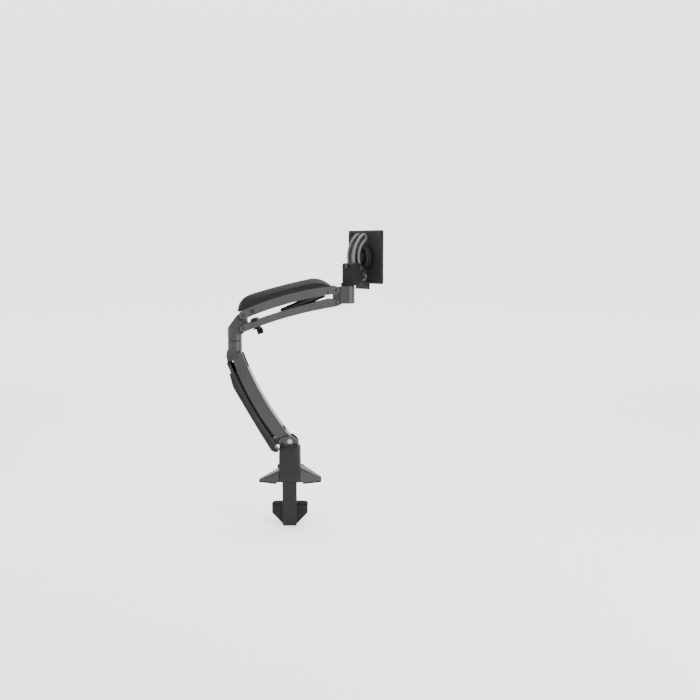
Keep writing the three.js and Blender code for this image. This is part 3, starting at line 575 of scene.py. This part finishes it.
SHELL_SHARP = 50.0
SEAT_GAP = 0.0003
THINNEST_SHELL = 0.0012
LOWER_SHOULDER = 0.78
shell_plastic = moulded("cover_shell_plastic", (0.008, 0.008, 0.0088), (0.016, 0.016, 0.0175), 0.44, 900.0)
run = np.linspace(-0.0127, 0.188, 101)
seat = parabola(run, (0.002, 0.0186), (0.212, 0.0110), 0.0064) + SEAT_GAP
crest_run = [-0.0127, -0.0105, -0.005, 0.05, 0.158, 0.170, 0.188]
crest_height = [0.0212, 0.0270, 0.0318, 0.0316, 0.0290, 0.0258, 0.0196]
crest = np.maximum(np.interp(run, crest_run, crest_height), seat + THINNEST_SHELL)
shell = shell_mesh(
    "lower_cover_shell", OUTER_PIVOT, LOWER_ANGLE, run, seat, crest, CHEEK_FACE, LOWER_SHOULDER)
made("lower_cover_shell", shell, shell_plastic, "outer_link", "lower_cover", SHELL_SHARP)


# ---- elbow ------------------------------------------------------------------------------------
# Two die-cast knuckles on one ground shaft, with a nylon washer in the seam. Coated pins
# join the lower one to the lower arm and the upper one to the upper arm.
dressed("elbow_knuckle_lower", knuckle_coat, 0.0012, steps=3)
dressed("elbow_knuckle_upper", knuckle_coat, 0.0012, steps=3)
painted(black_nylon, "elbow_bush")
painted(bright_steel, "elbow_shaft")
painted(knuckle_coat, "elbow_main_pin", "elbow_outer_pin", "upper_main_pin")
painted(knuckle_coat, "support_pin_near", "support_pin_far")


# ---- upper link ----------------------------------------------------------------------------------
# The top bar of the upper arm, a bowed channel bent from steel and open below. A round-headed
# screw on each side holds the bracket of the gas strut.
UPPER_PIVOT = (-0.098, 0.372)
UPPER_ANGLE = 15.3
grey_coat = powder_coat("grey_powder_coat", (0.032, 0.0323, 0.0335), (0.055, 0.0553, 0.057), 0.38)
dressed("upper_link", grey_coat, 0.0012, steps=3)
LINK_SCREW_PROFILE = [(-0.0005, 0.0), (-0.0005, 0.0046), (0.0008, 0.0046), (0.0016, 0.0036),
                      (0.0019, 0.0019), (0.0007, 0.0017), (0.0006, 0.0)]
LINK_SCREW_ALONG = 0.0222
LINK_SCREW_ABOVE = 0.0026
for side, face in (("near", -1), ("far", 1)):
    name = f"link_screw_{side}"
    screw_seat = in_link(UPPER_PIVOT, UPPER_ANGLE, LINK_SCREW_ALONG, face * CHEEK_FACE, LINK_SCREW_ABOVE)
    link_screw = turned(name, LINK_SCREW_PROFILE, screw_seat, (0, face, 0))
    made(name, link_screw, black_steel, "upper_beam")


# ---- upper cover ---------------------------------------------------------------------------------
# A long shell moulded in charcoal plastic, rounded along its top edges and at its nose. It
# is clipped over the upper link.
COVER_START = -0.009
COVER_LENGTH = 0.209
NOSE_LENGTH = 0.044
TAIL_LENGTH = 0.045
COVER_LIFT = 0.0008
UPPER_SHOULDER = 0.50
BEND_START = -0.004
run = COVER_START + COVER_LENGTH * (1 - np.cos(np.linspace(0.0, np.pi, 121))) / 2
bend_up = 0.3 * np.maximum(BEND_START - run, 0.0)
seat = parabola(run, (BEND_START, 0.0095), (0.2044, 0.0100), 0.0085) + SEAT_GAP + bend_up
nose = np.clip((run - COVER_START) / NOSE_LENGTH, 0.0, 1.0)
tail = np.clip((COVER_START + COVER_LENGTH - run) / TAIL_LENGTH, 0.0, 1.0)
full = 0.0378 - 0.018 * run + 0.014 * (run / 0.2) * (1 - run / 0.2)
crest = seat + (full - seat) * (1 - (1 - nose) ** 2.6) ** 0.55 * (1 - (1 - tail) ** 2.4) + COVER_LIFT
shell = shell_mesh(
    "upper_cover_shell", UPPER_PIVOT, UPPER_ANGLE, run, seat, crest, CHEEK_FACE, UPPER_SHOULDER)
made("upper_cover_shell", shell, shell_plastic, "upper_beam", "upper_cover", SHELL_SHARP)


# ---- gas strut --------------------------------------------------------------------------------------
# A black oxide steel cylinder and a bright ground rod, slung across the gap between the two
# upper bars. A pin near the head holds it, and its rod's foot rests over the tension saddle.
dressed("gas_strut_cylinder", black_steel, 0.0006)
painted(bright_steel, "gas_strut_rod")
painted(black_steel, "gas_strut_pin")


# ---- support link, cable clip and tension screw ----------------------------------------------------
# The lower bar of the upper arm is a narrower channel. A nylon clip snaps into it for the
# cables, and a plated saddle with a bright screw sets how hard the strut pushes.
dressed("support_link", grey_coat, 0.0012, steps=3)
dressed("cable_clip", black_nylon, 0.0004)
painted(plated_steel, "tension_saddle")
painted(bright_steel, "tension_screw")


# ---- end knuckle --------------------------------------------------------------------------------------
# A die-cast barrel, powder coated grey, that closes the two upper bars on coated pins. The
# head's stub turns in it on a nylon washer.
dressed("end_knuckle", knuckle_coat, 0.0010, steps=3)
painted(knuckle_coat, "end_main_pin", "end_support_pin")
painted(black_nylon, "head_bush")


# ---- yoke ----------------------------------------------------------------------------------------------
# A folded steel fork that swivels in the end knuckle, with a cap screw at its back. Two bright
# headed pins cross it and run in the slots of the tilt flanges.
HEAD_TURN = np.radians(39.0)
HEAD_AXIS = (np.cos(HEAD_TURN), np.sin(HEAD_TURN), 0.0)
HEAD_X = 0.1282
HEAD_Z = 0.497


def in_head(x, y, z):
    """A point given out from the head's swivel axis, to its side and up, in metres, turned with the head."""
    out, aside = HEAD_AXIS[:2]
    return HEAD_X + x * out - y * aside, x * aside + y * out, HEAD_Z + z


yoke_coat = powder_coat("yoke_powder_coat", (0.005, 0.005, 0.0055), (0.010, 0.010, 0.0105), 0.55, 0.12)
dressed("head_yoke", yoke_coat, 0.0011, steps=3)
dressed("yoke_screw", black_steel, 0.0004)
dressed("tilt_pin_upper", black_steel, 0.0005)
dressed("tilt_pin_lower", black_steel, 0.0005)


# ---- tilt flanges and hub ----------------------------------------------------------------------------
# Two curved steel flanges with curved slots, plated pale, stand off a dark round hub that
# the plate turns on. A raised ring runs round the face of the hub.
flange_plate = metal("flange_plate_steel", (0.10, 0.10, 0.102), (0.16, 0.16, 0.163), 0.4, 0.5, 3.0)
TILT_CENTRE = 0.0672
SLOT_RADIUS = 0.052


def circle(radius, turn):
    """Points of a circle about the origin, one row for each angle in turn."""
    return np.stack([radius * np.cos(turn), radius * np.sin(turn)], 1)


def rail_points(y, half_width, thick, sweep_half):
    """A closed rail round a curved slot: two arcs about the tilt axis, half_width either side of the slot's
    radius, joined by half circles at the slot's ends. The rail's section is a superellipse thick across."""
    arc = np.radians(np.linspace(180 - sweep_half, 180 + sweep_half, 61))
    bend = np.linspace(0.0, np.pi, 13)[1:-1]
    outer = circle(SLOT_RADIUS + half_width, arc)
    inner = circle(SLOT_RADIUS - half_width, arc[::-1])
    low_end = circle(SLOT_RADIUS, arc[-1:]) + circle(half_width, arc[-1] + bend)
    high_end = circle(SLOT_RADIUS, arc[:1]) + circle(half_width, arc[0] + np.pi + bend)
    path = np.concatenate([outer, low_end, inner, high_end])
    ahead = np.roll(path, -1, axis=0) - np.roll(path, 1, axis=0)
    ahead /= np.linalg.norm(ahead, axis=1, keepdims=True)
    side = np.stack([ahead[:, 1], -ahead[:, 0]], 1)
    turn = np.linspace(0.0, 2.0 * np.pi, 36, endpoint=False)
    across = thick[0] / 2 * np.sign(np.cos(turn)) * np.abs(np.cos(turn)) ** 0.5
    deep = thick[1] / 2 * np.sign(np.sin(turn)) * np.abs(np.sin(turn)) ** 0.5
    flat = path[:, None, :] + across[None, :, None] * side[:, None, :]
    out, up = flat[:, :, 0], flat[:, :, 1]
    return np.stack(in_head(TILT_CENTRE + out, y + deep[None, :] + 0 * out, up), axis=2)


def web_points(middle_y, half_thick, inner_x, outer_x, half_height):
    """A flat box between two distances out from the head's axis; its first and last ring close its sides."""
    share = np.array([0.0, 1.0, 1.0, 0.0])[:, None]
    depth = middle_y + half_thick * np.array([-1.0, -1.0, 1.0, 1.0])[:, None]
    middle_x = (inner_x + outer_x) / 2
    out = middle_x + share * (np.array([inner_x, inner_x, outer_x, outer_x])[None] - middle_x)
    up = share * half_height * np.array([-1.0, 1.0, 1.0, -1.0])[None]
    return np.stack(in_head(out, depth + 0 * out, up), axis=2)


FLANGE_Y = 0.010
RAIL_HALF_WIDTH = 0.0066
RAIL_SECTION = (0.0046, 0.0040)
RAIL_SWEEP = 55.0
RAIL_SHARP = 50.0
WEB_HALF_THICK = 0.0016
WEB_INNER = 0.0214
WEB_OUTER = 0.0362
WEB_HALF_HEIGHT = 0.0075
HUB_FACE = 0.0366
HUB_RING_PROFILE = [(0.0004, 0.0200), (-0.0012, 0.0206), (-0.0016, 0.0216), (-0.0016, 0.0232),
                    (-0.0012, 0.0242), (0.0004, 0.0248)]
for side, face in (("near", -1), ("far", 1)):
    name = f"tilt_rail_{side}"
    rail = rail_points(face * FLANGE_Y, RAIL_HALF_WIDTH, RAIL_SECTION, RAIL_SWEEP)
    made(name, closed_mesh(name, rail, closed_u=True), flange_plate, "tilt", f"tilt_flange_{side}",
         RAIL_SHARP)
    name = f"tilt_web_{side}"
    web = web_points(face * FLANGE_Y, WEB_HALF_THICK, WEB_INNER, WEB_OUTER, WEB_HALF_HEIGHT)
    made(name, closed_mesh(name, web), jaw_coat, "tilt")
dressed("tilt_hub", jaw_coat, 0.0010, steps=3)
ring = turned("hub_ring", HUB_RING_PROFILE, in_head(HUB_FACE, 0.0, 0.0), HEAD_AXIS, 64)
made("hub_ring", ring, strip_coat, "tilt")


# ---- plate ---------------------------------------------------------------------------------------------
# A square steel plate with rounded corners and two patterns of four holes, coated charcoal,
# with a narrow raised lip round its back. A small tab with a screw locks its roll.
def lip_points(side, inset, width, rise):
    """A square ring with round corners: its section is a low half hoop, width across and rise high."""
    turn = np.linspace(0.0, 2.0 * np.pi, 120, endpoint=False)
    c, s = np.cos(turn), np.sin(turn)
    size = (np.abs(c) ** 12 + np.abs(s) ** 12) ** (-1 / 12)
    hoop = np.radians(np.linspace(0.0, 180.0, 7))
    reach = side / 2 - inset - width / 2 + width / 2 * np.cos(hoop)[:, None]
    height = rise * np.sin(hoop)[:, None]
    y, z = reach * size * c, reach * size * s
    return np.stack(in_head(PLATE_BACK - height + 0 * y, y, z), axis=2)


PLATE_BACK = 0.0486
PLATE_SIDE = 0.116
LIP_INSET = 0.0022
LIP_WIDTH = 0.0022
LIP_RISE = 0.0012
PLUG_PLACE = 0.0375
PLUG_SEAT = 0.0482
PLUG_PROFILE = [(0.0, 0.0), (0.0, 0.0033), (0.0007, 0.0029), (0.0008, 0.0024), (0.0025, 0.0023),
                (0.0025, 0.0)]
dressed("monitor_plate", charcoal_coat, 0.0006)
lip = closed_mesh("plate_lip", lip_points(PLATE_SIDE, LIP_INSET, LIP_WIDTH, LIP_RISE), closed_u=True)
made("plate_lip", lip, strip_coat, "plate")
for height, z in (("upper", PLUG_PLACE), ("lower", -PLUG_PLACE)):
    for depth, y in (("near", -PLUG_PLACE), ("far", PLUG_PLACE)):
        name = f"hole_plug_{height}_{depth}"
        plug = turned(name, PLUG_PROFILE, in_head(PLUG_SEAT, y, z), HEAD_AXIS, 24)
        made(name, plug, black_nylon, "plate")
dressed("lock_tab", strip_coat, 0.0004)
dressed("lock_screw", black_steel, 0.0004)


# ---- monitor screws ----------------------------------------------------------------------------------
# Four black oxide button screws near the plate's corners, driven through it into the back
# of the monitor.
for height in ("upper", "lower"):
    for depth in ("near", "far"):
        dressed(f"monitor_screw_{height}_{depth}", black_steel, 0.0004)
